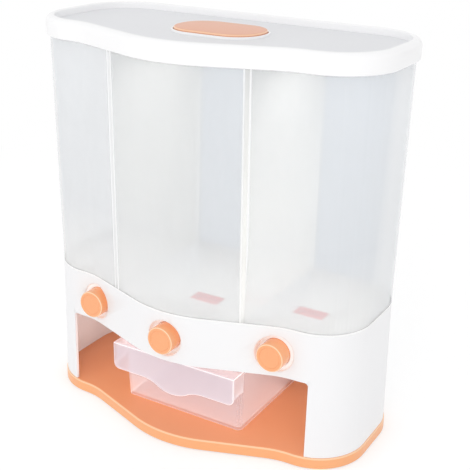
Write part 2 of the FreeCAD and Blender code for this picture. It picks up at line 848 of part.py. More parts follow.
# ---- spring: a coil round the stem, from inside the cap to the guide's bracket ----
# The wire is square and its turns are straight chords, so that the coil has few faces.
def makeSpring(name, x, y):
    label = name + "_spring"
    start = s.buttonSkin - (s.pocketAhead + s.buttonReach) + s.springWire
    end = -(s.gateFront + s.gateTravel / 2) - s.springWire
    chords = int(s.springTurns.value * s.springChords.value)
    path = []
    for step in range(chords + 1):
        angle = 2 * math.pi * step / s.springChords.value
        along = start.value + (end.value - start.value) * step / chords
        radius = s.springRadius.value
        path.append(FreeCAD.Vector(radius * math.cos(angle), along, radius * math.sin(angle)))
    half = s.springWire.value
    first = path[0]
    section = [
        first + FreeCAD.Vector(across * half, along * half, 0)
        for across, along in ((-1, -1), (1, -1), (1, 1), (-1, 1), (-1, -1))
    ]
    rightCorner = 1
    spine = Part.makePolygon(path)
    wire = spine.makePipeShell([Part.makePolygon(section)], True, False, rightCorner)
    coil = doc.addObject("Part::Feature", label)
    coil.Shape = wire
    coil.Placement = FreeCAD.Placement()
    bind(coil, "Placement.Base.z", buttonLevel)
    place(coil, x, y)
    keep(label, coil)


# ---- hopper: clear walls with two dividers, open at the top and at the bottom ----
def makeHopper():
    outer = newBody("hopperOuter")
    loft(outer, "hopperOuterLoft", [
        (hopperBase, lambda k: outline(k, shellTopOutset)),
        (hopperRim, lambda k: outline(k, s.hopperFlare)),
    ])
    inner = newBody("hopperInner")
    loft(inner, "hopperInnerLoft", [
        (hopperBase, lambda k: outline(k, shellTopOutset - s.hopperWall)),
        (hopperRim, lambda k: outline(k, s.hopperFlare - s.hopperWall)),
    ])
    half = s.dividerThick / 2
    dividers = []
    for number, side in enumerate((-1, 1)):
        middle = dividerPlace * side
        dividers.append(box(f"divider{number}", middle - half, middle + half,
                            -s.depth, s.depth, hopperBase, hopperRim - s.dividerDrop))
    rooms = cut("hopperRooms", inner, fuse("dividers", dividers))
    body = newBody("hopper")
    body.BaseFeature = cut("hopperSharp", outer, rooms)
    rootPlaces = (dividerPlace - half, dividerPlace + half)

    # The roots run up along the walls beside each divider.
    def onDividerRoot(edge):
        bounds = edge.BoundBox
        plumb = bounds.XMax - bounds.XMin < slack
        tall = bounds.ZMax - bounds.ZMin > s.hopperHeight.value / 2
        return plumb and tall and any(abs(abs(bounds.XMin) - x.value) < slack
                                      for x in rootPlaces)

    doc.recompute()
    roundEdges(body, "dividerRoots", body.Tip, s.dividerRoot, onDividerRoot)
    keep("hopper", body)


# ---- hopper floor: flange under the walls, spigot in the casing, three sloped funnels ----
def makeHopperFloor():
    flange = newBody("floorFlange")
    pad(flange, "flangeSlab", "XY_Plane", shellTop, s.flangeThick,
        lambda k: outline(k, shellTopOutset))
    pad(flange, "spigotSlab", "XY_Plane", shellTop - s.spigotDepth, s.spigotDepth,
        lambda k: outline(k, spigotOutset))
    well = newBody("floorWell")
    pad(well, "wellBlock", "XY_Plane", gateTop, hopperBase - gateTop,
        lambda k: outline(k, spigotOutset - s.spigotWall))
    underside = newBody("floorUnderside")
    pad(underside, "undersideBlock", "XY_Plane", gateTop, shellTop - gateTop,
        lambda k: outline(k, spigotOutset))

    half = s.dividerThick / 2
    far = sideLine - s.shellDraft - s.hopperWall
    back = backLine - s.shellDraft - s.hopperWall
    sideFront = -(waistFront + s.sideFloorReach)
    cells = {
        "left": (-far, -(dividerPlace + half), sideFront, back),
        "centre": (half - dividerPlace, dividerPlace - half, -back, back),
        "right": (dividerPlace + half, far, sideFront, back),
    }
    floors, unders, throats, spouts = [], [], [], []
    for name, x, y in stations:
        halfX, halfY = s.outletWidth / 2, s.outletLength / 2
        mouth = (x - halfX, x + halfX, y - halfY, y + halfY)
        skin = s.outletWall
        outside = (mouth[0] - skin, mouth[1] + skin, mouth[2] - skin, mouth[3] + skin)
        floors.append(funnel(name + "Floor", mouth, cells[name], floorLow, hopperBase))
        unders.append(funnel(name + "Under", outside, cells[name],
                             floorLow - s.floorWall, hopperBase - s.floorWall))
        spouts.append(box(name + "Spout", *outside, gateTop + s.gateGap, floorLow))
        throats.append(box(name + "Throat", *mouth, gateTop, floorLow))
    hanging = common("undersTrimmed", [underside, fuse("unders", unders)])
    block = fuse("floorBlock", [flange, hanging] + spouts)
    wells = common("floorWells", [well, fuse("floors", floors)])
    space = fuse("floorSpace", [wells] + throats)
    keep("hopper_floor", cut("hopper_floor", block, space))


# ---- lid: deep rounded rim, sunk panel, skirt, plug and the bead round the cup ----
def cupOutline(sketch, outset):
    wide = s.capWidth / 2 + outset
    long = s.capLength / 2 + outset
    roundedRectangle(sketch, -wide, wide, s.capSet - long, s.capSet + long, s.capRound + outset)


def makeLid():
    body = newBody("lid")
    pad(body, "lidBlock", "XY_Plane", lidBase, s.lidHeight, lambda k: outline(k, s.lidOverhang))
    recess = pocket(body, "lidRecess", "XY_Plane", lidTop, s.recessDepth,
                    lambda k: outline(k, s.lidOverhang - s.rimWidth))
    rimMiddle = sideLine + s.lidOverhang - s.rimWidth / 2
    top = liesAt(lidTop)

    # The rounding runs on round the outline from the edge that it starts at.
    def onOuterRim(edge):
        return top(edge) and edge.BoundBox.XMax > rimMiddle.value

    rimEdge = roundEdges(body, "lidRimEdge", recess, s.lidRound, onOuterRim)
    innerEdge = roundEdges(body, "lidRecessEdge", rimEdge, s.rimInnerRound, top)
    roundEdges(body, "lidSkirtEdge", innerEdge, s.lidEdge, liesAt(lidBase))
    skirtInside = s.hopperFlare + s.skirtPlay
    pocket(body, "lidSkirtHollow", "XY_Plane", lidPanelBase, lidPanelBase - lidBase,
           lambda k: outline(k, skirtInside))
    plugOutside = s.hopperFlare - s.hopperWall - s.plugPlay
    ceiling = lidTop - s.lidWall

    def drawChannel(sketch):
        outline(sketch, skirtInside)
        outline(sketch, plugOutside)

    pocket(body, "lidRimChannel", "XY_Plane", ceiling, ceiling - lidPanelBase, drawChannel)

    def drawPlug(sketch):
        outline(sketch, plugOutside)
        outline(sketch, plugOutside - s.plugWall)

    pad(body, "lidPlug", "XY_Plane", lidPanelBase - s.plugDepth, s.plugDepth, drawPlug)

    def drawBead(sketch):
        cupOutline(sketch, s.capPlay + s.beadWidth)
        cupOutline(sketch, s.capPlay)

    pad(body, "lidBead", "XY_Plane", lidPanelTop, s.beadRise, drawBead)
    pocket(body, "cupHole", "XY_Plane", lidPanelTop, s.lidWall,
           lambda k: cupOutline(k, s.capPlay - s.cupInset))
    keep("lid", body)


# ---- seal: a flat ring on the hopper's rim, held under the lid ----
def makeSeal():
    body = newBody("lid_seal")

    def drawSeal(sketch):
        outline(sketch, s.hopperFlare)
        outline(sketch, s.hopperFlare - s.hopperWall)

    pad(body, "sealRing", "XY_Plane", hopperRim, lidTop - s.lidWall - hopperRim, drawSeal)
    keep("lid_seal", body)


# ---- absorber cup: hangs in the lid by its lip, with slots in its floor ----
def makeCup():
    body = newBody("desiccant_cup")
    lipBase = lidPanelTop
    pad(body, "cupLipPlate", "XY_Plane", lipBase, s.cupLip, lambda k: cupOutline(k, zero))
    pad(body, "cupBlock", "XY_Plane", lipBase - s.cupDepth, s.cupDepth,
        lambda k: cupOutline(k, -s.cupInset))
    pocket(body, "cupHollow", "XY_Plane", lipBase + s.cupLip,
           s.cupDepth + s.cupLip - s.cupWall,
           lambda k: cupOutline(k, -(s.cupInset + s.cupWall)))

    def drawSlots(sketch):
        for column in (-1, 0, 1):
            middle = (s.slotLength + s.slotPitch) * column
            for row in (-2, -1, 0, 1, 2):
                level = s.capSet + s.slotPitch * row
                rectangle(sketch, middle - s.slotLength / 2, middle + s.slotLength / 2,
                          level - s.slotWidth / 2, level + s.slotWidth / 2)

    pocket(body, "cupSlots", "XY_Plane", lipBase - s.cupDepth + s.cupWall, s.cupWall, drawSlots)
    keep("desiccant_cup", body)


# ---- cap of the cup: a plate with a rounded edge, and a soft ring that plugs the cup ----
def makeCap():
    body = newBody("desiccant_cap")
    base = lidPanelTop + s.cupLip
    plate = pad(body, "capPlate", "XY_Plane", base, s.capThick, lambda k: cupOutline(k, zero))
    roundEdges(body, "capEdgeRound", plate, s.capEdge, liesAt(base + s.capThick))
    keep("desiccant_cap", body)
    gasket = newBody("cap_gasket")
    outside = -(s.cupInset + s.cupWall + s.gasketPlay)

    def drawRing(sketch):
        cupOutline(sketch, outside)
        cupOutline(sketch, outside - s.gasketWall)

    pad(gasket, "gasketRing", "XY_Plane", base - s.gasketDepth, s.gasketDepth, drawRing)
    keep("cap_gasket", gasket)


# ---- drawer: tapered box with a lip that turns down in front, waved along its edge ----
def makeDrawer():
    body = newBody("drawer")
    half = s.drawerWidth / 2
    top = s.bayHeight - s.drawerHeadroom
    wallFace = backLine - s.shellWall - s.shellDraft
    back = drawerFront + wallFace - s.drawerBackGap - s.drawerDraft

    def floorPlan(sketch, spread, inset, corner):
        wide = half + spread - inset
        roundedRectangle(sketch, -wide, wide, inset - spread, back + spread - inset, corner)

    innerCorner = s.drawerCorner - s.drawerWall
    loft(body, "drawerOuter", [
        (zero, lambda k: floorPlan(k, zero, zero, s.drawerCorner)),
        (top, lambda k: floorPlan(k, s.drawerDraft, zero, s.drawerCorner)),
    ])
    lipTop = top
    lipBottom = top - s.lipDrop
    lipHalf = half + s.drawerDraft
    lipFront = s.drawerDraft + s.lipReach
    pad(body, "lipWeb", "XY_Plane", top - s.drawerWall, s.drawerWall,
        lambda k: rectangle(k, -lipHalf, lipHalf, -lipFront, s.drawerWall))

    # lower edge of the lip: flat, down and up again in four equal arcs, flat
    def drawLip(sketch):
        reach, dip = s.lipWaveHalf, s.lipWave
        bend = (reach * reach + dip * dip) / (dip * 4)
        turn = 2 * math.atan2(dip.value, reach.value)
        quarter = math.pi / 2
        r, wide, corner = bend.value, lipHalf.value, s.lipCorner.value
        low, deep = lipBottom.value, lipBottom.value - dip.value
        x = reach.value
        topEdge = addLine(sketch, wide, lipTop.value, -wide, lipTop.value)
        sideL = addLine(sketch, -wide, lipTop.value, -wide, low + corner)
        cornerL = addArc(sketch, corner - wide, low + corner, corner, 2 * quarter, 3 * quarter)
        flatL = addLine(sketch, corner - wide, low, -x, low)
        arc1 = addArc(sketch, -x, low - r, r, quarter - turn, quarter)
        arc2 = addArc(sketch, 0, deep + r, r, -quarter - turn, -quarter + turn)
        arc3 = addArc(sketch, x, low - r, r, quarter, quarter + turn)
        flatR = addLine(sketch, x, low, wide - corner, low)
        cornerR = addArc(sketch, wide - corner, low + corner, corner, -quarter, 0)
        sideR = addLine(sketch, wide, low + corner, wide, lipTop.value)
        relate(sketch, "Coincident", topEdge, 2, sideL, 1)
        relate(sketch, "Coincident", sideR, 2, topEdge, 1)
        joints = [
            (sideL, 2, cornerL, 1), (cornerL, 2, flatL, 1), (flatL, 2, arc1, 2),
            (arc1, 1, arc2, 1), (arc2, 2, arc3, 2), (arc3, 1, flatR, 1),
            (flatR, 2, cornerR, 1), (cornerR, 2, sideR, 1),
        ]
        for joint in joints:
            relate(sketch, "Tangent", *joint)
        for edge in (topEdge, flatL, flatR):
            relate(sketch, "Horizontal", edge)
        for edge in (sideL, sideR):
            relate(sketch, "Vertical", edge)
        for edge in (arc1, arc3):
            relate(sketch, "Equal", arc2, edge)
        relate(sketch, "Equal", cornerL, cornerR)
        dimension(sketch, "Radius", cornerL, s.lipCorner)
        placePoint(sketch, topEdge, 1, lipHalf, lipTop)
        placePoint(sketch, topEdge, 2, -lipHalf, None)
        placePoint(sketch, flatL, 2, -reach, lipBottom)
        placePoint(sketch, flatR, 1, reach, lipBottom)
        dimension(sketch, "Radius", arc2, bend)

    pad(body, "lipFlange", "XZ_Plane", lipFront - s.drawerWall, s.drawerWall, drawLip)

    def drawReturns(sketch):
        for side in (-1, 1):
            rectangle(sketch, lipHalf * side - s.drawerWall * (side + 1) / 2,
                      lipHalf * side - s.drawerWall * (side - 1) / 2,
                      -lipFront, s.drawerWall - s.drawerDraft)

    pad(body, "lipReturns", "XY_Plane", lipBottom + s.lipCorner,
        s.lipDrop - s.lipCorner, drawReturns)
    loft(body, "drawerInner", [
        (s.drawerWall, lambda k: floorPlan(k, zero, s.drawerWall, innerCorner)),
        (top, lambda k: floorPlan(k, s.drawerDraft, s.drawerWall, innerCorner)),
    ], "PartDesign::SubtractiveLoft")
    place(body, s.drawerPlace, -drawerFront)
    bind(body, "Placement.Base.z", trayTop)
    keep("drawer", body)


# ---- feet: soft discs in the tray's sockets ----
def makeFeet():
    body = fuse("feetFused", [
        upright(f"foot{number}", x, y, zero, s.footProud + s.footRecess, s.footRadius)
        for number, (x, y) in enumerate(feetPlaces)
    ])
    keep("feet", body)


# ---- screws: a pan head and a shank, one solid each ----
def screw(name, x, y, seat, up):
    turned = newBody(name)
    head = s.screwHeadRise
    length = s.screwGrip

    def drawProfile(sketch):
        polygon(sketch, [(-head, zero), (length, zero), (length, s.screwRadius),
                         (zero, s.screwRadius), (zero, s.screwHead), (-head, s.screwHead)])

    revolve(turned, name + "Turned", drawProfile)
    lean = 90 if up else -90
    turned.Placement = FreeCAD.Placement(
        FreeCAD.Vector(0, 0, 0), FreeCAD.Rotation(FreeCAD.Vector(1, 0, 0), lean))
    place(turned, x, y)
    bind(turned, "Placement.Base.z", seat)
    return turned


def makeScrews():
    under, over, inside = [], [], []
    for number, (x, y) in enumerate(posts):
        under.append(screw(f"trayScrew{number}", x, y, trayTop - s.trayBossSeat, True))
        over.append(screw(f"deckScrew{number}", x, y, deckTop, False))
    for name, x, y in stations:
        for number, (across, along) in enumerate(guideScrews):
            inside.append(screw(f"{name}GuideScrew{number}", x + across, y + along,
                                guideTop, False))
    keep("tray_screws", fuse("trayScrews", under))
    keep("deck_screws", fuse("deckScrews", over))
    keep("guide_screws", fuse("guideScrewsFused", inside))


makeTray()
makeShell()
makeDeck()
for stationName, stationX, stationY in stations:
    makeGuide(stationName, stationX, stationY)
    makeGate(stationName, stationX, stationY)
    makeButton(stationName, stationX, stationY)
    makeSpring(stationName, stationX, stationY)
makeHopper()
makeHopperFloor()
makeLid()
makeSeal()
makeCup()
makeCap()
makeDrawer()
makeFeet()
makeScrews()
doc.recompute()

faults = [item.Name for item in doc.Objects if "Invalid" in item.State or "Error" in item.State]
for nodeName, thing in nodes.items():
    if thing.Shape.isNull() or not thing.Shape.isValid():
        faults.append(nodeName)
if faults:
    raise RuntimeError("these did not build: " + ", ".join(faults))
os.makedirs("parts", exist_ok=True)
for nodeName, thing in nodes.items():
    thing.Shape.exportStep(f"parts/{nodeName}.step")
    print(nodeName, "solids", len(thing.Shape.Solids), "volume", round(thing.Shape.Volume / 1000, 2))
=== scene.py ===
import bmesh
import bpy
import json
import math
import numpy as np
from mathutils import Matrix, Vector

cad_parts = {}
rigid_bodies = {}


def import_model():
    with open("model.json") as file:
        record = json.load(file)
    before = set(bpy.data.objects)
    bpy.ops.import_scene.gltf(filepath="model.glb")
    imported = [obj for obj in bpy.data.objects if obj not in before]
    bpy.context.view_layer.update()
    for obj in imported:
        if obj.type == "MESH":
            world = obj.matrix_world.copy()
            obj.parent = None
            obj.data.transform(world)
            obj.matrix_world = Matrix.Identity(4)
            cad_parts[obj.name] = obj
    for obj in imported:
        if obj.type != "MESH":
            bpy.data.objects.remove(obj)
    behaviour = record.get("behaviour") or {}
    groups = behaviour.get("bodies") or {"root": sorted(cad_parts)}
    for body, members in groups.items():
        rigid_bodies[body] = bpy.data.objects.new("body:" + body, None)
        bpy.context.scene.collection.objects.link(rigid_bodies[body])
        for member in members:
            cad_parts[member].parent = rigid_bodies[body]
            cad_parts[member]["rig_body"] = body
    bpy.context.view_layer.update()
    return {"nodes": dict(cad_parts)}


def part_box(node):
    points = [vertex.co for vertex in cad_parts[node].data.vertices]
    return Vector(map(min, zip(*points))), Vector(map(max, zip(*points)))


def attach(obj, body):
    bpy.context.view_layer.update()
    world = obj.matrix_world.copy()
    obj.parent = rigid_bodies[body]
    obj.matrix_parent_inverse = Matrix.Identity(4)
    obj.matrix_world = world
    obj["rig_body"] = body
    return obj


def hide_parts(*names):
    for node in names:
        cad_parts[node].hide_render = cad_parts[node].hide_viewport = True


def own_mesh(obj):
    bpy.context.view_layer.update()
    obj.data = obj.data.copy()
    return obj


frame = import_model()
mm = 0.001
fullTurn = 2 * math.pi
sides = ("left", "centre", "right")
black, white = (0, 0, 0, 1), (1, 1, 1, 1)
print("frame loaded:", len(frame["nodes"]), "nodes")


# shaders: arithmetic on sockets, and one method for every other node
class Wire:
    # a socket of a node tree; + - * / on it add the Math node of the same name
    def __init__(self, tree, socket=None):
        self.tree = tree
        self.socket = socket

    def add(self, kind, settings, inputs, output=0):
        # a node of any kind: its settings first, then a link or a value for each input
        made = self.tree.nodes.new(kind)
        for key, value in settings.items():
            setattr(made, key, value)
        for key, value in inputs.items():
            if isinstance(value, Wire):
                self.tree.links.new(value.socket, made.inputs[key])
            else:
                made.inputs[key].default_value = value
        return Wire(self.tree, made.outputs[output])

    def maths(self, operation, *parts):
        # a Math node on one or two sockets or numbers
        return self.add("ShaderNodeMath", {"operation": operation}, dict(enumerate(parts)))

    def __add__(self, other):
        return self.maths("ADD", self, other)

    def __radd__(self, other):
        return self.maths("ADD", other, self)

    def __sub__(self, other):
        return self.maths("SUBTRACT", self, other)

    def __rsub__(self, other):
        return self.maths("SUBTRACT", other, self)

    def __mul__(self, other):
        return self.maths("MULTIPLY", self, other)

    def __rmul__(self, other):
        return self.maths("MULTIPLY", other, self)

    def __truediv__(self, other):
        return self.maths("DIVIDE", self, other)

    def __rtruediv__(self, other):
        return self.maths("DIVIDE", other, self)

    def clamped(self):
        # the value, held between 0 and 1
        return self.maths("MINIMUM", self.maths("MAXIMUM", self, 0.0), 1.0)

    def under(self, edge, fade):
        # rises from 0 at the edge to 1 where the value is a fade below it
        return ((edge - self) / fade).clamped()

    def over(self, edge, fade):
        # rises from 0 at the edge to 1 where the value is a fade above it
        return ((self - edge) / fade).clamped()

    def axis(self, letter):
        # one coordinate of a place
        return self.add("ShaderNodeSeparateXYZ", {}, {0: self}, "XYZ".index(letter))

    def blend(self, share, first, second):
        # one colour to another by the share; inputs 6 and 7 and output 2 are the node's
        # colour sockets
        settings = {"data_type": "RGBA"}
        return self.add("ShaderNodeMix", settings, {0: share, 6: first, 7: second}, 2)


def linear(red, green, blue):
    # screen colour 0..255 to linear light, by the sRGB curve
    def channel(value):
        share = value / 255
        return share / 12.92 if share <= 0.04045 else ((share + 0.055) / 1.055) ** 2.4

    return (channel(red), channel(green), channel(blue), 1.0)


def newMaterial(name):
    # an empty material, a wire to build it with and the piece's own coordinates
    material = bpy.data.materials.new(name)
    material.use_nodes = True
    tree = material.node_tree
    tree.nodes.clear()
    wire = Wire(tree)
    place = wire.add("ShaderNodeTexCoord", {}, {}, "Object")
    return material, wire, place


def finishMaterial(wire, surface):
    # the surface goes to the material's output
    output = wire.tree.nodes.new("ShaderNodeOutputMaterial")
    wire.tree.links.new(surface.socket, output.inputs[0])


def noise(wire, place, scale, detail=2.0):
    # soft random clouds, smaller as the scale grows
    return wire.add("ShaderNodeTexNoise", {}, {"Vector": place, "Scale": scale, "Detail": detail})


def swung(level, texture, swing):
    # a level moved up and down by a noise texture, whose mean is one half
    return level + (texture - 0.5) * swing


def grainBump(wire, look, texture):
    # a texture as fine relief
    return wire.add("ShaderNodeBump", {}, {
        "Strength": look["grain"], "Distance": look["grainDepth"], "Height": texture})


def roundButtons(place, inner, outer, fade):
    # 1 between two distances from the push axis of any button and ahead of the middle, 0
    # elsewhere
    share = 0.0
    for side in sides:
        low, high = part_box(side + "_button")
        beside = place.axis("X") - (low.x + high.x) / 2
        above = place.axis("Z") - (low.z + high.z) / 2
        reach = place.maths("SQRT", beside * beside + above * above)
        share = reach.under(outer, fade) * reach.over(inner, fade) + share
    return share * place.axis("Y").under(0.0, fade)


# what all the plastics share
plastic = dict(index=1.49, coatRough=0.15, grainDetail=3.0)


def mouldedPlastic(name, look):
    # satin moulded plastic: base colour shifted by slow noise, roughness by finer noise,
    # and a fine leather grain as bump. A look may add a painted highlight ring on each
    # button, a top colour (painted shade on the tray) with a painted highlight line under it,
    # and round wells that glow weakly as painted light
    material, wire, place = newMaterial(name)
    slow = noise(wire, place, look["cloudScale"])
    fine = noise(wire, place, look["grainScale"], plastic["grainDetail"])
    colour = wire.blend(slow, look["colour"], look["shade"])
    # painted highlight: a paler ring on the rounded edge of each button's face
    if "ringInner" in look:
        ring = roundButtons(place, look["ringInner"], look["ringOuter"], look["ringFade"])
        colour = wire.blend(ring, colour, look["ringHighlight"])
    # painted highlight: a paler line under the top colour; on the tray the top colour itself is
    # painted shade, darker than the sides
    if "topColour" in look:
        line = place.axis("Z").over(look["highlightPlace"], look["topFade"])
        top = place.axis("Z").over(look["topPlace"], look["topFade"])
        colour = wire.blend(line, colour, look["highlightColour"])
        colour = wire.blend(top, colour, look["topColour"])
    inputs = {"Base Color": colour, "Roughness": swung(look["rough"], fine, look["roughSwing"]),
              "Normal": grainBump(wire, look, fine), "IOR": plastic["index"],
              "Coat Weight": look.get("coat", 0.0), "Coat Roughness": plastic["coatRough"]}
    # painted light: the wells round the buttons glow weakly
    if "wellRadius" in look:
        well = roundButtons(place, look["wellInner"], look["wellRadius"], look["wellFade"])
        inputs["Emission Color"] = wire.blend(well, black, look["wellLightColour"])
        inputs["Emission Strength"] = look["glow"]
    finishMaterial(wire, wire.add("ShaderNodeBsdfPrincipled", {}, inputs))
    return material


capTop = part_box("desiccant_cap")[1].z
plasticLooks = {
    # the casing's wells round the buttons glow weakly as painted light, lifting their shade. The
    # inner limit of the casing's wells lies below zero, so they have no hole
    "whiteShell": dict(
        colour=linear(247, 247, 248), shade=linear(244, 244, 246), cloudScale=14.0,
        rough=0.36, roughSwing=0.10, coat=0.15,
        grain=0.10, grainDepth=0.3 * mm, grainScale=900.0,
        wellInner=-1.0 * mm, wellRadius=17.3 * mm, wellFade=0.3 * mm,
        wellLightColour=(0.17, 0.15, 0.14, 1), glow=1.0),
    "whiteInner": dict(
        colour=linear(240, 240, 242), shade=linear(234, 234, 237), cloudScale=20.0,
        rough=0.5, roughSwing=0.12,
        grain=0.12, grainDepth=0.3 * mm, grainScale=800.0),
    "whiteLid": dict(
        colour=linear(253, 253, 254), shade=linear(250, 250, 251), cloudScale=14.0,
        rough=0.32, roughSwing=0.10, coat=0.25,
        grain=0.08, grainDepth=0.3 * mm, grainScale=900.0),
    "lidPanel": dict(
        colour=linear(232, 233, 236), shade=linear(227, 228, 231), cloudScale=10.0,
        rough=0.42, roughSwing=0.12,
        grain=0.16, grainDepth=0.3 * mm, grainScale=700.0),
    "orangeTray": dict(
        colour=linear(253, 183, 128), shade=linear(251, 176, 122), cloudScale=12.0,
        rough=0.38, roughSwing=0.12, coat=0.25,
        grain=0.10, grainDepth=0.3 * mm, grainScale=800.0,
        # painted shade: the top darker than the sides; painted highlight: a paler line along the
        # upper edge of the front band
        topColour=linear(240, 156, 106), topPlace=11.2 * mm, topFade=0.2 * mm,
        highlightColour=linear(255, 208, 166), highlightPlace=9.8 * mm),
    "orangeButton": dict(
        colour=linear(252, 174, 118), shade=linear(251, 168, 112), cloudScale=40.0,
        rough=0.26, roughSwing=0.08, coat=0.8,
        grain=0.05, grainDepth=0.2 * mm, grainScale=900.0,
        # painted highlight: a paler ring on the rounded edge of each face
        ringInner=11.9 * mm, ringOuter=12.95 * mm, ringFade=0.2 * mm,
        ringHighlight=linear(255, 214, 172)),
    "orangeCap": dict(
        colour=linear(232, 166, 132), shade=linear(229, 160, 126), cloudScale=30.0,
        rough=0.36, roughSwing=0.1, coat=0.1,
        grain=0.1, grainDepth=0.2 * mm, grainScale=900.0,
        # painted highlight: a paler line on the cap's upper edge; above it the top takes the
        # cap's own colour again
        topColour=linear(232, 166, 132), topPlace=capTop - 0.25 * mm, topFade=0.15 * mm,
        highlightColour=linear(253, 206, 172), highlightPlace=capTop - 1.4 * mm),
    "paleGate": dict(
        colour=linear(254, 124, 128), shade=linear(252, 118, 122), cloudScale=40.0,
        rough=0.4, roughSwing=0.1,
        grain=0.06, grainDepth=0.2 * mm, grainScale=900.0),
    "softRubber": dict(
        colour=linear(205, 206, 208), shade=linear(196, 197, 200), cloudScale=60.0,
        rough=0.7, roughSwing=0.15,
        grain=0.3, grainDepth=0.3 * mm, grainScale=600.0),
}


def hopperZones(wire, place, look, alpha, tint):
    # zones of the hopper's skin. The dividers stand at one distance left and right of the
    # middle and are painted paler, as painted light, and the front joint of each is a set of
    # upright lines beside it, painted highlights. The back wall lies behind a plane and is
    # tinted a darker blue grey, as painted shade, and the haze thins out upwards and
    # backwards. The dividers glow below a height, as painted light, the left one by a smaller
    # share
    fade = look["fade"]
    sideways = place.axis("X")
    sign = wire.maths("SIGN", sideways)
    across = sideways - sign * look["webPlace"]
    front = place.axis("Y").under(look["seamPlace"], fade)
    web = wire.maths("ABSOLUTE", across).under(look["webHalf"], fade) * (1.0 - front)
    # painted highlights: bright upright lines at each divider's front joint
    for middle, half, cover in look["seams"]:
        seam = wire.maths("ABSOLUTE", across - middle).under(half, fade) * front
        alpha = alpha + seam * cover
        tint = wire.blend(seam, tint, look["seamHighlight"])
    # painted shade: the back wall tinted a darker blue grey and more opaque
    rear = place.axis("Y").over(look["rearPlace"], fade)
    haze = (place.axis("Z").under(look["hazeTop"], look["hazeDepth"])
            * place.axis("Y").under(look["hazeBack"], look["hazeReach"]))
    alpha = alpha + (web * look["webAlpha"] + rear * look["rearAlpha"]
                     + haze * look["hazeAlpha"])
    tint = wire.blend(rear, tint, look["rearShadeColour"])
    tint = wire.blend(web, tint, look["webPaintedLight"])
    tint = wire.blend(haze, tint, look["hazeColour"])
    share = look["leftShare"] + sign.clamped() * (1.0 - look["leftShare"])
    low = place.axis("Z").under(look["glowTop"], look["glowDepth"]) * share
    glow = wire.blend(web * low, black, look["webGlow"])
    return alpha, tint, glow


def clearPlastic(name, look):
    # clear moulding as thin tinted skin. Its cover grows towards glancing angles, in the
    # zones of the hopper, in a front lip and near a foot, which glows weakly as painted light;
    # the spouts get a painted pink cast from the slides below them. A look with a glow and
    # neither zones nor foot glows in its own colour, as painted light
    material, wire, place = newMaterial(name)
    facing = wire.add("ShaderNodeLayerWeight", {}, {"Blend": look["edgeBlend"]}, "Facing")
    fine = noise(wire, place, look["grainScale"], plastic["grainDetail"])
    slow = noise(wire, place, look["cloudScale"])
    fade = look["fade"]
    alpha = swung(look["alpha"] + facing * look["edgeAlpha"], slow, look["cloudAlpha"])
    tint = look["colour"]
    # painted light: a look with a glow glows in its own colour unless a zone sets another
    glow = look["colour"]
    if "webPlace" in look:
        alpha, tint, glow = hopperZones(wire, place, look, alpha, tint)
    # painted light: the pink that the slides below cast on the spouts
    if "spoutPlace" in look:
        spout = place.axis("Z").under(look["spoutPlace"], fade)
        tint = wire.blend(spout, tint, look["spoutCastHue"])
    if "lipPlace" in look:
        lip = place.axis("Y").under(look["lipPlace"], fade)
        # painted light: near the foot the skin is more opaque and glows weakly, lifting its shade
        foot = place.axis("Z").under(look["footPlace"], fade)
        alpha = alpha + (lip * look["lipAlpha"] + foot * look["footAlpha"])
        tint = wire.blend(lip, tint, look["lipColour"])
        glow = wire.blend(foot, black, look["footGlow"])
    surface = wire.add("ShaderNodeBsdfPrincipled", {}, {
        "Base Color": tint, "Roughness": swung(look["rough"], fine, look["roughSwing"]),
        "Alpha": alpha.clamped(), "Normal": grainBump(wire, look, fine),
        "IOR": plastic["index"], "Emission Color": glow,
        "Emission Strength": look.get("glow", 0.0)})
    finishMaterial(wire, surface)
    return material


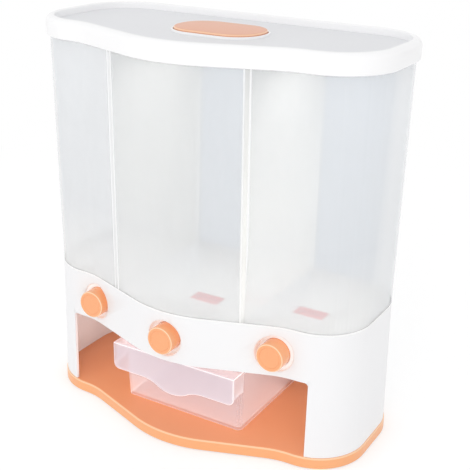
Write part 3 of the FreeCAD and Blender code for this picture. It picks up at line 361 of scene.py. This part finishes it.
clearLooks = {
    # each seam of a divider's front joint, a painted highlight line: its middle, its half width
    # and its cover
    "clearHopper": dict(
        colour=linear(243, 245, 248), cloudScale=9.0, rough=0.2, roughSwing=0.06,
        alpha=0.31, edgeAlpha=0.3, edgeBlend=0.25, cloudAlpha=0.01, fade=0.4 * mm,
        grain=0.04, grainDepth=0.4 * mm, grainScale=500.0,
        # painted light: the divider planes paler and more opaque
        webPlace=66.5 * mm, webHalf=2.0 * mm, webAlpha=0.4, webPaintedLight=linear(255, 254, 249),
        seamPlace=-62.0 * mm, seamHighlight=linear(253, 254, 255),
        seams=((0.6 * mm, 0.8 * mm, 0.24), (3.1 * mm, 3.3 * mm, 0.16),
               (5.6 * mm, 0.9 * mm, 0.36)),
        # painted shade: the back wall darker blue grey
        rearPlace=76.5 * mm, rearAlpha=0.1, rearShadeColour=linear(205, 216, 228),
        hazeTop=205.0 * mm, hazeDepth=72.0 * mm, hazeBack=60.0 * mm, hazeReach=80.0 * mm,
        hazeAlpha=0.08, hazeColour=linear(255, 255, 255),
        # painted light: the dividers glow below this height
        glowTop=340.0 * mm, glowDepth=120.0 * mm, leftShare=0.35,
        webGlow=(0.155, 0.15, 0.138, 1), glow=1.0),
    "clearEdge": dict(
        colour=linear(252, 252, 253), cloudScale=9.0, rough=0.12, roughSwing=0.06,
        alpha=0.5, edgeAlpha=0.3, edgeBlend=0.25, cloudAlpha=0.03, fade=0.4 * mm,
        grain=0.04, grainDepth=0.4 * mm, grainScale=500.0),
    "frostedFloor": dict(
        colour=linear(255, 255, 255), cloudScale=18.0, rough=0.4, roughSwing=0.1,
        alpha=0.95, edgeAlpha=0.3, edgeBlend=0.3, cloudAlpha=0.04, fade=0.4 * mm,
        grain=0.08, grainDepth=0.4 * mm, grainScale=700.0,
        # painted light: the pink cast of the slides below on the spouts
        spoutPlace=117.2 * mm, spoutCastHue=linear(255, 122, 136)),
    "frostedDrawer": dict(
        colour=linear(254, 242, 246), cloudScale=25.0, rough=0.34, roughSwing=0.1,
        alpha=0.2, edgeAlpha=0.35, edgeBlend=0.3, cloudAlpha=0.04, fade=0.4 * mm,
        grain=0.1, grainDepth=0.4 * mm, grainScale=900.0,
        lipPlace=-61.5 * mm, lipAlpha=0.2, lipColour=linear(244, 234, 243),
        # painted light: near the foot the skin glows weakly
        footPlace=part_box("drawer")[0].z + 1.9 * mm, footAlpha=0.15,
        footGlow=(0.14, 0.11, 0.105, 1), glow=1.0),
    # painted light: the drawer's rounded edges glow weakly in their own colour
    "frostedEdge": dict(
        colour=linear(254, 250, 252), cloudScale=25.0, rough=0.3, roughSwing=0.1,
        alpha=0.65, edgeAlpha=0.3, edgeBlend=0.3, cloudAlpha=0.04, fade=0.4 * mm,
        grain=0.1, grainDepth=0.4 * mm, grainScale=900.0, glow=0.25),
}


def drawnMetal(name, look):
    # zinc or spring wire: noise stretched along one axis for the drawing marks. The Mapping
    # node sets the noise's scale along each axis
    material, wire, place = newMaterial(name)
    stretched = wire.add("ShaderNodeMapping", {}, {
        "Vector": place, "Scale": (look["across"], look["along"], look["across"])})
    streak = noise(wire, stretched, 1.0, look["detail"])
    surface = wire.add("ShaderNodeBsdfPrincipled", {}, {
        "Base Color": wire.blend(streak, look["colour"], look["shade"]),
        "Roughness": swung(look["rough"], streak, look["roughSwing"]),
        "Metallic": 1.0, "Normal": grainBump(wire, look, streak)})
    finishMaterial(wire, surface)
    return material


metalLooks = {
    "springSteel": dict(
        colour=linear(190, 192, 196), shade=linear(168, 170, 175), rough=0.3, roughSwing=0.2,
        grain=0.15, grainDepth=0.2 * mm, across=1500.0, along=300.0, detail=4.0),
    "zincScrew": dict(
        colour=linear(196, 197, 200), shade=linear(176, 177, 182), rough=0.35, roughSwing=0.2,
        grain=0.15, grainDepth=0.2 * mm, across=1200.0, along=1200.0, detail=4.0),
}

materials = {}
for makeMaterial, looks in ((mouldedPlastic, plasticLooks), (clearPlastic, clearLooks),
                            (drawnMetal, metalLooks)):
    for name, look in looks.items():
        materials[name] = makeMaterial(name, look)
print("materials made:", len(materials))


# surfaces on a grid
gridWeld = 0.001 * mm


def gridPiece(name, points, material, wrapAcross=True, wrapAlong=False, sharpAngle=32.0):
    # points[ring, spot]: each face joins two rings and two spots. Wrapped across, the last
    # spot joins the first; wrapped along, the last ring does. The ends of a stack of rings
    # that isn't wrapped along are closed by one flat face each
    rings, around = points.shape[:2]
    ring, spot = np.meshgrid(np.arange(rings if wrapAlong else rings - 1),
                             np.arange(around if wrapAcross else around - 1), indexing="ij")
    nextRing, nextSpot = (ring + 1) % rings, (spot + 1) % around
    quads = np.stack([ring * around + spot, ring * around + nextSpot,
                      nextRing * around + nextSpot, nextRing * around + spot], axis=-1)
    faces = quads.reshape(-1, 4).tolist()
    if wrapAcross and not wrapAlong:
        faces.append(list(range(around))[::-1])
        faces.append(list(range((rings - 1) * around, rings * around)))
    mesh = bpy.data.meshes.new(name)
    mesh.from_pydata(points.reshape(-1, 3).tolist(), [], faces)
    shape = bmesh.new()
    shape.from_mesh(mesh)
    bmesh.ops.remove_doubles(shape, verts=shape.verts, dist=gridWeld)
    bmesh.ops.recalc_face_normals(shape, faces=shape.faces)
    shape.to_mesh(mesh)
    shape.free()
    return finishPiece(name, mesh, material, sharpAngle)


def finishPiece(name, mesh, material, sharpAngle):
    # smooth shading, but for the edges where the faces turn by more than the angle
    mesh.polygons.foreach_set("use_smooth", np.ones(len(mesh.polygons), bool))
    mesh.set_sharp_from_angle(angle=math.radians(sharpAngle))
    mesh.materials.append(material)
    piece = bpy.data.objects.new(name, mesh)
    bpy.context.scene.collection.objects.link(piece)
    return piece


def dress(piece, node):
    # the piece moves with its node's body and stands in for the node
    body = frame["nodes"][node]["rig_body"]
    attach(piece, body)
    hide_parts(node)


# pieces copied from the frame; angles are in degrees
copyLook = dict(weld=0.002 * mm, flatAngle=0.3, sharpAngle=28.0, edgeAngle=40.0,
                edgeSegments=2)


def mergedCopy(node, name, material, edge, edgeMaterial):
    # the node's own faces, welded, with flat runs joined, smooth runs shaded smooth and,
    # where an edge width is given, the sharp edges rounded
    mesh = frame["nodes"][node].data.copy()
    mesh.materials.clear()
    shape = bmesh.new()
    shape.from_mesh(mesh)
    bmesh.ops.remove_doubles(shape, verts=shape.verts, dist=copyLook["weld"])
    bmesh.ops.dissolve_limit(shape, angle_limit=math.radians(copyLook["flatAngle"]),
                             verts=shape.verts, edges=shape.edges,
                             use_dissolve_boundaries=False)
    shape.to_mesh(mesh)
    shape.free()
    mesh.name = name
    piece = finishPiece(name, mesh, material, copyLook["sharpAngle"])
    if edge:
        bevel = piece.modifiers.new("roundedEdges", "BEVEL")
        bevel.width = edge
        bevel.segments = copyLook["edgeSegments"]
        bevel.limit_method = "ANGLE"
        bevel.angle_limit = math.radians(copyLook["edgeAngle"])
        bevel.use_clamp_overlap = False
        bevel.harden_normals = True
        if edgeMaterial:
            piece.data.materials.append(edgeMaterial)
            bevel.material = 1
    dress(piece, node)


# plan outline of the casing
plan = dict(
    halfWidth=165.0 * mm, depth=165.3 * mm, noseReach=31.0 * mm, tightness=0.7594,
    noseShare=0.5955, frontCorner=48.5 * mm, backCorner=47.2 * mm, lidOverhang=4.6 * mm,
    arcSteps=22, runSteps=8, samePlace=0.001 * mm,
)


def planCurve(outset):
    # closed curve of arcs and straight runs, anticlockwise from the nose. Every arc keeps
    # its centre; round ones grow by the outset and the two hollow waists shrink by it. At a
    # tightness of 1 the nose would meet the waists; below it a straight run joins them
    back, front = plan["depth"] / 2 + outset, plan["depth"] / 2 - plan["noseReach"]
    waistX = plan["halfWidth"] - plan["frontCorner"]
    limit = (waistX ** 2 + plan["noseReach"] ** 2) / (2 * plan["noseReach"])
    radii = limit * plan["tightness"]
    nose = radii * plan["noseShare"]
    noseY, waistY = nose - plan["depth"] / 2, nose - radii - front
    rise = noseY - waistY
    reach = math.hypot(waistX, rise)
    slope = math.atan2(waistX, rise) - math.atan2(math.sqrt(reach ** 2 - radii ** 2), radii)
    turn = np.linspace(0, 1, plan["arcSteps"])
    quarter = math.pi / 2

    def arc(x, y, radius, start, end):
        angle = start + (end - start) * turn
        return np.stack([x + radius * np.cos(angle), y + radius * np.sin(angle)], axis=1)

    cornerY = plan["frontCorner"] - front
    backX, backY = plan["halfWidth"] - plan["backCorner"], plan["depth"] / 2 - plan["backCorner"]
    right = [
        arc(0, noseY, nose + outset, -quarter, slope - quarter),
        arc(waistX, waistY, radii - nose - outset, quarter + slope, quarter),
        arc(waistX, cornerY, plan["frontCorner"] + outset, -quarter, 0),
        arc(backX, backY, plan["backCorner"] + outset, 0, quarter),
        np.array([[0, back]]),
    ]
    run = np.linspace(0, 1, plan["runSteps"])[1:-1, None]
    pieces = right[:1]
    for here, there in zip(right, right[1:]):
        if np.hypot(*(there[0] - here[-1])) > plan["samePlace"]:
            pieces.append(here[-1] * (1 - run) + there[0] * run)
        pieces.append(there)
    half = np.concatenate(pieces)
    keepers = np.ones(len(half), bool)
    keepers[1:] = np.hypot(*(half[1:] - half[:-1]).T) > plan["samePlace"]
    half = half[keepers]
    mirrored = half[1:-1][::-1] * [-1, 1]
    return np.concatenate([half, mirrored])


def ringAt(curve, height):
    # a curve in plan, lifted to one height
    return np.column_stack([curve, np.full(len(curve), height)])


def roundedCurve(halfX, halfY, radius, directions):
    # where a ray from the middle leaves a rectangle with rounded corners: on a side or an
    # end if it does so before the corner circle starts, and otherwise on that circle
    least = 1e-9  # keeps a ray along an axis from dividing by zero
    cosine, sine = np.abs(np.cos(directions)), np.abs(np.sin(directions))
    toSide = halfX / np.maximum(cosine, least)
    toEnd = halfY / np.maximum(sine, least)
    cornerX, cornerY = halfX - radius, halfY - radius
    along = cosine * cornerX + sine * cornerY
    beyond = along ** 2 - cornerX ** 2 - cornerY ** 2 + radius ** 2
    toCorner = along + np.sqrt(np.maximum(beyond, 0))
    onSide = toSide * sine <= cornerY
    onEnd = toEnd * cosine <= cornerX
    reach = np.where(onSide, toSide, np.where(onEnd, toEnd, toCorner))
    return np.stack([reach * np.cos(directions), reach * np.sin(directions)], axis=1)


def fillet(outset, height, radius, startAngle, endAngle, steps):
    # a rounding seen in section, as (outset, height) pairs: the centre plus the radius times
    # the cosine and the sine of each angle, in even steps of degrees
    angle = np.radians(np.linspace(startAngle, endAngle, steps))
    return [(outset + radius * math.cos(a), height + radius * math.sin(a)) for a in angle]


# lid: one closed skin carried round the plan outline
lidSizes = dict(
    rimRound=6.0 * mm, rimWidth=8.0 * mm, innerRound=1.4 * mm, skirtRound=0.9 * mm,
    recess=6.2 * mm, wall=2.5 * mm, skirtInside=1.8 * mm, plugOutside=-1.4 * mm,
    plugWall=1.8 * mm, plugDepth=4.0 * mm, beadWidth=1.8 * mm, beadRise=2.0 * mm,
    capWidth=84.0 * mm, capLength=56.0 * mm, capRound=26.0 * mm, capRoundLeast=0.5 * mm,
    capSet=8.0 * mm, capPlay=0.4 * mm, cupInset=4.0 * mm, roundSteps=9,
    topShares=(0.25, 0.5, 0.75), undersideShares=(0.33, 0.66), sharpAngle=40.0,
    panelReach=0.01 * mm, panelUp=0.99,
)


def capCurve(outset, directions):
    # outline of the absorber's cap, behind the middle of the lid and set out by the outset
    size = lidSizes
    curve = roundedCurve(size["capWidth"] / 2 + outset, size["capLength"] / 2 + outset,
                         max(size["capRound"] + outset, size["capRoundLeast"]), directions)
    return curve + [0, size["capSet"]]


def makeLid():
    # a section of (outset, height) pairs, carried round the plan outline and, near the hole,
    # round the outline of the cap: up the skirt, over the rim, across the sunk panel to the
    # bead, through the hole and back along the underside and the plug
    size = lidSizes
    low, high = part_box("lid")
    top, low = high.z, low.z
    over = plan["lidOverhang"]
    panelTop = top - size["recess"]
    panelLow = panelTop - size["wall"]
    inner = over - size["rimWidth"]
    rim, inside, skirt = size["rimRound"], size["innerRound"], size["skirtRound"]
    plug, steps = size["plugOutside"], size["roundSteps"]
    section = fillet(over - skirt, low + skirt, skirt, -90, 0, steps)
    section += fillet(over - rim, top - rim, rim, 0, 90, steps)
    section += fillet(inner + inside, top - inside, inside, 90, 180, steps)
    section += [(inner, panelTop)]
    underside = [
        (plug - size["plugWall"], panelLow),
        (plug - size["plugWall"], panelLow - size["plugDepth"]),
        (plug, panelLow - size["plugDepth"]),
        (plug, top - size["wall"]),
        (size["skirtInside"], top - size["wall"]),
        (size["skirtInside"], low),
    ]
    rings = [ringAt(planCurve(outset), height) for outset, height in section]
    directions = np.arctan2(rings[-1][:, 1] - size["capSet"], rings[-1][:, 0])

    def cupRing(outset, height):
        return ringAt(capCurve(outset, directions), height)

    bead = size["beadWidth"] / 2
    middle = size["capPlay"] + bead
    hole = size["capPlay"] - size["cupInset"]
    near, far = rings[-1], cupRing(middle + bead, panelTop)
    rings += [near * (1 - share) + far * share for share in size["topShares"]]
    rings.append(far)
    rings += [cupRing(outset, height) for outset, height in
              fillet(middle, panelTop + size["beadRise"] - bead, bead, 0, 180, steps)]
    rings += [cupRing(size["capPlay"], panelTop), cupRing(hole, panelTop),
              cupRing(hole, panelLow)]
    near, far = rings[-1], ringAt(planCurve(underside[0][0]), panelLow)
    rings += [near * (1 - share) + far * share for share in size["undersideShares"]]
    rings += [ringAt(planCurve(outset), height) for outset, height in underside]
    piece = gridPiece("lidMoulding", np.stack(rings), materials["whiteLid"], wrapAlong=True,
                      sharpAngle=size["sharpAngle"])
    piece.data.materials.append(materials["lidPanel"])
    sunk = np.array([abs(face.center.z - panelTop) < size["panelReach"]
                     and face.normal.z > size["panelUp"] for face in piece.data.polygons])
    piece.data.polygons.foreach_set("material_index", sunk.astype(int))
    dress(piece, "lid")


makeLid()
print("lid made")

# cap of the absorber cup: a plate with a rounded edge
capSizes = dict(edge=1.4 * mm, edgeSteps=8, under=0.4 * mm, underSteps=3, around=160,
                sharpAngle=40.0)


def makeCap():
    # roundings of the lower and the upper edge, carried round the outline of the cap
    size = capSizes
    low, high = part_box("desiccant_cap")
    directions = np.linspace(0, fullTurn, size["around"], endpoint=False)
    edge, under = size["edge"], size["under"]
    section = fillet(-under, low.z + under, under, -90, 0, size["underSteps"])
    section += fillet(-edge, high.z - edge, edge, 0, 90, size["edgeSteps"])
    rings = [ringAt(capCurve(outset, directions), height) for outset, height in section]
    piece = gridPiece("absorberCap", np.stack(rings), materials["orangeCap"],
                      sharpAngle=size["sharpAngle"])
    dress(piece, "desiccant_cap")


makeCap()
print("cap made")

# buttons: a section turned round the push axis
buttonSizes = dict(
    radius=13.0 * mm, faceRound=1.1 * mm, skin=2.2 * mm, chamfer=1.0 * mm,
    groove=9.6 * mm, grooveHalf=0.55 * mm, grooveDepth=0.35 * mm, grooveLead=0.2 * mm,
    rim=14.6 * mm, rimThick=2.0 * mm, rimFrom=22.5 * mm, stem=4.0 * mm, stemEnd=50.5 * mm,
    pin=2.4 * mm, facePole=0.5 * mm, pinPole=0.3 * mm, around=96, roundSteps=8,
    grooveSteps=9, sharpAngle=35.0,
)


def turnedAlongY(name, middle, section, material, around, sharpAngle):
    # section is (distance along the axis, radius); each pair becomes a circle round it
    angle = np.linspace(0, fullTurn, around, endpoint=False)
    along, radius = np.array(section)[:, :1], np.array(section)[:, 1:]
    points = np.stack([middle[0] + radius * np.cos(angle),
                       middle[1] + along + 0 * angle,
                       middle[2] + radius * np.sin(angle)], axis=-1)
    return gridPiece(name, points, material, sharpAngle=sharpAngle)


def makeButton(side):
    # from the middle of the face outwards, with a shallow round groove, back along the side
    # to the rim, and inside to the stem and the pin
    size = buttonSizes
    node = side + "_button"
    low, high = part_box(node)
    middle = ((low.x + high.x) / 2, low.y, (low.z + high.z) / 2)
    grooveIn, grooveWidth = size["groove"] - size["grooveHalf"], 2 * size["grooveHalf"]
    outer, edge = size["radius"], size["faceRound"]
    skin, bore, chamfer = size["skin"], outer - size["skin"], size["chamfer"]
    rimFrom, rimEnd = size["rimFrom"], size["rimFrom"] + size["rimThick"]
    section = [(0, size["facePole"]), (0, grooveIn - size["grooveLead"])]
    section += [(size["grooveDepth"] * (1 - math.cos(share * fullTurn)) / 2,
                 grooveIn + grooveWidth * share)
                for share in np.linspace(0, 1, size["grooveSteps"])]
    section += fillet(edge, outer - edge, edge, 180, 90, size["roundSteps"])
    section += [
        (rimFrom, outer), (rimFrom, size["rim"]), (rimEnd, size["rim"]), (rimEnd, bore),
        (skin + chamfer, bore), (skin, bore - chamfer), (skin, size["stem"] + chamfer),
        (skin + chamfer, size["stem"]), (size["stemEnd"], size["stem"]),
        (size["stemEnd"], size["pin"]), (high.y - low.y, size["pin"]),
        (high.y - low.y, size["pinPole"]),
    ]
    piece = turnedAlongY(side + "PushButton", middle, section, materials["orangeButton"],
                         size["around"], size["sharpAngle"])
    dress(piece, node)


# springs: round wire carried along a helix, ends closed flat
springSizes = dict(radius=6.5 * mm, wire=0.5 * mm, turns=6.0, flatShare=0.08, perTurn=28,
                   around=10, travel=10.0 * mm, sharpAngle=60.0)


def makeSpring(side):
    # centre line: a circle of the coil's radius that climbs along Y, with a flat run at each
    # end that is a share of the climb's length; the wire's circle is set across the line,
    # turned by the same angle
    size = springSizes
    node = side + "_spring"
    low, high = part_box(node)
    middle = (low + high) / 2
    share = np.linspace(0, 1, int(size["turns"] * size["perTurn"]))[:, None]
    angle = fullTurn * size["turns"] * share
    start, end = low.y + size["wire"], high.y - size["wire"]
    climb = np.clip(share * (1 + 2 * size["flatShare"]) - size["flatShare"], 0, 1)
    wireAngle = np.linspace(0, fullTurn, size["around"], endpoint=False)
    radial = size["radius"] + size["wire"] * np.cos(wireAngle)
    points = np.stack([middle.x + radial * np.cos(angle),
                       start + (end - start) * climb + size["wire"] * np.sin(wireAngle),
                       middle.z + radial * np.sin(angle)], axis=-1)
    piece = gridPiece(side + "CoilSpring", points, materials["springSteel"],
                      sharpAngle=size["sharpAngle"])
    dress(piece, node)
    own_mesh(piece)


for side in sides:
    makeButton(side)
    makeSpring(side)
print("buttons and springs made")

# pieces that keep the frame's own faces, welded, some with rounded edges
copies = [
    ("base_shell", "casingMoulding", "whiteShell", "white_shell", 0.5 * mm),
    ("base_tray", "trayMoulding", "orangeTray", "orange_shell", 0.0),
    ("outlet_deck", "deckMoulding", "whiteInner", "white_inner", 0.0),
    ("hopper", "hopperMoulding", "clearHopper", "clear_hopper", 0.35 * mm),
    ("hopper_floor", "funnelTray", "frostedFloor", "frosted_floor", 0.0),
    ("drawer", "drawerMoulding", "frostedDrawer", "frosted_drawer", 0.6 * mm),
    ("desiccant_cup", "absorberCup", "whiteInner", "cup_plastic", 0.0),
    ("cap_gasket", "capGasket", "softRubber", "soft_seal", 0.0),
    ("lid_seal", "lidSeal", "softRubber", "soft_seal", 0.0),
    ("feet", "antiSlipFeet", "softRubber", "soft_feet", 0.0),
    ("tray_screws", "trayScrews", "zincScrew", "zinc_screw", 0.0),
    ("deck_screws", "deckScrews", "zincScrew", "zinc_screw", 0.0),
    ("guide_screws", "guideScrews", "zincScrew", "zinc_screw", 0.0),
]
for side in sides:
    copies.append((side + "_guide", side + "GuideMoulding", "whiteInner", "guide_plastic", 0.0))
    copies.append((side + "_gate", side + "GatePlate", "paleGate", "orange_gate", 0.0))
edgeMaterials = {"clearHopper": "clearEdge", "frostedDrawer": "frostedEdge"}
for node, name, material, slotName, edge in copies:
    edgeMaterial = materials.get(edgeMaterials.get(material))
    mergedCopy(node, name, materials[material], edge, edgeMaterial)
print("copied pieces made:", len(copies))


# floor, lights and camera
def seenRays(wire):
    # 1 for rays from the camera, off a gloss or through a clear piece, 0 for all others
    camera, glossy, through = (
        wire.add("ShaderNodeLightPath", {}, {}, "Is " + kind + " Ray")
        for kind in ("Camera", "Glossy", "Transmission"))
    return (camera + glossy + through).clamped()


def makeFloor(look):
    # white sheet: close to the object it takes shadows, lifted by a steady glow; farther
    # out it is an even white. Rays that carry light meet a plain white sheet instead
    material, wire, place = newMaterial("floorWhite")
    away = wire.add("ShaderNodeVectorMath", {"operation": "LENGTH"}, {0: place}, "Value")
    far = away.over(look["nearReach"], look["fade"])
    diffuse = wire.add("ShaderNodeBsdfDiffuse", {}, {"Color": look["near"]})
    lift = wire.add("ShaderNodeEmission", {}, {"Color": white, "Strength": look["lift"]})
    near = wire.add("ShaderNodeAddShader", {}, {0: diffuse, 1: lift})
    even = wire.add("ShaderNodeEmission", {}, {"Color": white, "Strength": 1.0})
    shown = wire.add("ShaderNodeMixShader", {}, {0: far, 1: near, 2: even})
    bounce = wire.add("ShaderNodeBsdfDiffuse", {}, {"Color": look["bounce"]})
    surface = wire.add("ShaderNodeMixShader", {}, {0: seenRays(wire), 1: bounce, 2: shown})
    finishMaterial(wire, surface)
    across = np.linspace(-look["reach"], look["reach"], look["rows"])
    x, y = np.meshgrid(across, across, indexing="ij")
    points = np.stack([x, y, 0 * x], axis=-1)
    gridPiece("floorSheet", points, material, False, False)


def makeWorld(look):
    # white all round: full white where it is seen, and a little less where it gives light
    world = bpy.data.worlds.new("studio")
    bpy.context.scene.world = world
    world.use_nodes = True
    world.node_tree.nodes.clear()
    wire = Wire(world.node_tree)
    level = look["ambient"] + seenRays(wire) * (1.0 - look["ambient"])
    background = wire.add("ShaderNodeBackground", {}, {"Color": white, "Strength": level})
    output = wire.tree.nodes.new("ShaderNodeOutputWorld")
    wire.tree.links.new(background.socket, output.inputs[0])


def makeLight(name, look):
    # a rectangular lamp at its place, turned towards its target and hidden from the camera
    lamp = bpy.data.lights.new(name, "AREA")
    lamp.shape = "RECTANGLE"
    lamp.size, lamp.size_y = look["size"]
    lamp.energy = look["power"]
    lamp.color = look["colour"]
    holder = bpy.data.objects.new(name, lamp)
    holder.visible_camera = False
    place, target = Vector(look["place"]), Vector(look["target"])
    holder.location = place
    holder.rotation_euler = (target - place).to_track_quat("-Z", "Y").to_euler()
    bpy.context.scene.collection.objects.link(holder)


floorLook = dict(near=(0.5, 0.5, 0.5, 1), lift=0.56, bounce=(0.9, 0.9, 0.9, 1),
                 nearReach=0.45, fade=0.5, reach=8.0, rows=5)
studio = dict(ambient=0.88)
# places and sizes in metres, powers in watts
lights = {
    "frontSoftbox": dict(place=(-0.7, -1.9, 1.0), target=(0, 0, 0.15), size=(1.6, 1.2),
                         power=3.4, colour=(1.0, 0.99, 0.98)),
    "edgeGlint": dict(place=(0.42, -1.35, 1.15), target=(0, 0, 0.15), size=(0.22, 0.22),
                      power=1.3, colour=(1.0, 0.99, 0.97)),
    "bayFill": dict(place=(0.9, -1.3, 0.35), target=(-0.05, -0.05, 0.04), size=(0.5, 0.3),
                    power=2.0, colour=(1.0, 0.99, 0.98)),
    "bayCeiling": dict(place=(0, -0.01, 0.0845), target=(0, -0.01, 0), size=(0.24, 0.11),
                       power=0.045, colour=(1.0, 0.98, 0.97)),
    "bayGlow": dict(place=(0, -0.01, 0.0128), target=(0, -0.01, 1), size=(0.24, 0.11),
                    power=0.06, colour=(1.0, 0.84, 0.74)),
    "leftCeiling": dict(place=(-0.105, 0.012, 0.35), target=(-0.105, 0.012, 0),
                        size=(0.06, 0.08), power=0.019, colour=(1, 1, 1)),
    "centreCeiling": dict(place=(0, 0.005, 0.343), target=(0, 0.005, 0), size=(0.1, 0.1),
                          power=0.044, colour=(1, 1, 1)),
    "rightCeiling": dict(place=(0.113, 0.012, 0.345), target=(0.113, 0.012, 0),
                         size=(0.055, 0.08), power=0.028, colour=(1, 1, 1)),
}
cameraLook = dict(azimuth=30.15, elevation=21.58, roll=1.25, focal=951.29, frame=470.0,
                  sensor=36.0, place=(430.1 * mm, -699.8 * mm, 504.0 * mm))


def makeCamera(look):
    # azimuth and elevation give the direction back to the camera, and the roll leans it
    # about that line; the focal length is in the same unit as the frame's width
    azimuth, elevation = math.radians(look["azimuth"]), math.radians(look["elevation"])
    back = Vector((math.sin(azimuth) * math.cos(elevation),
                   -math.cos(azimuth) * math.cos(elevation), math.sin(elevation)))
    right = Vector((math.cos(azimuth), math.sin(azimuth), 0))
    up = back.cross(right)
    lean = math.radians(look["roll"])
    leanRight = math.cos(lean) * right + math.sin(lean) * up
    leanUp = math.cos(lean) * up - math.sin(lean) * right
    data = bpy.data.cameras.new("viewpoint")
    data.sensor_width = look["sensor"]
    data.lens = look["focal"] / look["frame"] * data.sensor_width
    holder = bpy.data.objects.new("viewpoint", data)
    turn = Matrix((leanRight, leanUp, back)).transposed()
    holder.matrix_world = Matrix.Translation(look["place"]) @ turn.to_4x4()
    bpy.context.scene.collection.objects.link(holder)
    bpy.context.scene.camera = holder


makeFloor(floorLook)
makeWorld(studio)
for name, look in lights.items():
    makeLight(name, look)
makeCamera(cameraLook)
bpy.context.scene.view_settings.view_transform = "Standard"
print("floor, lights and camera made")
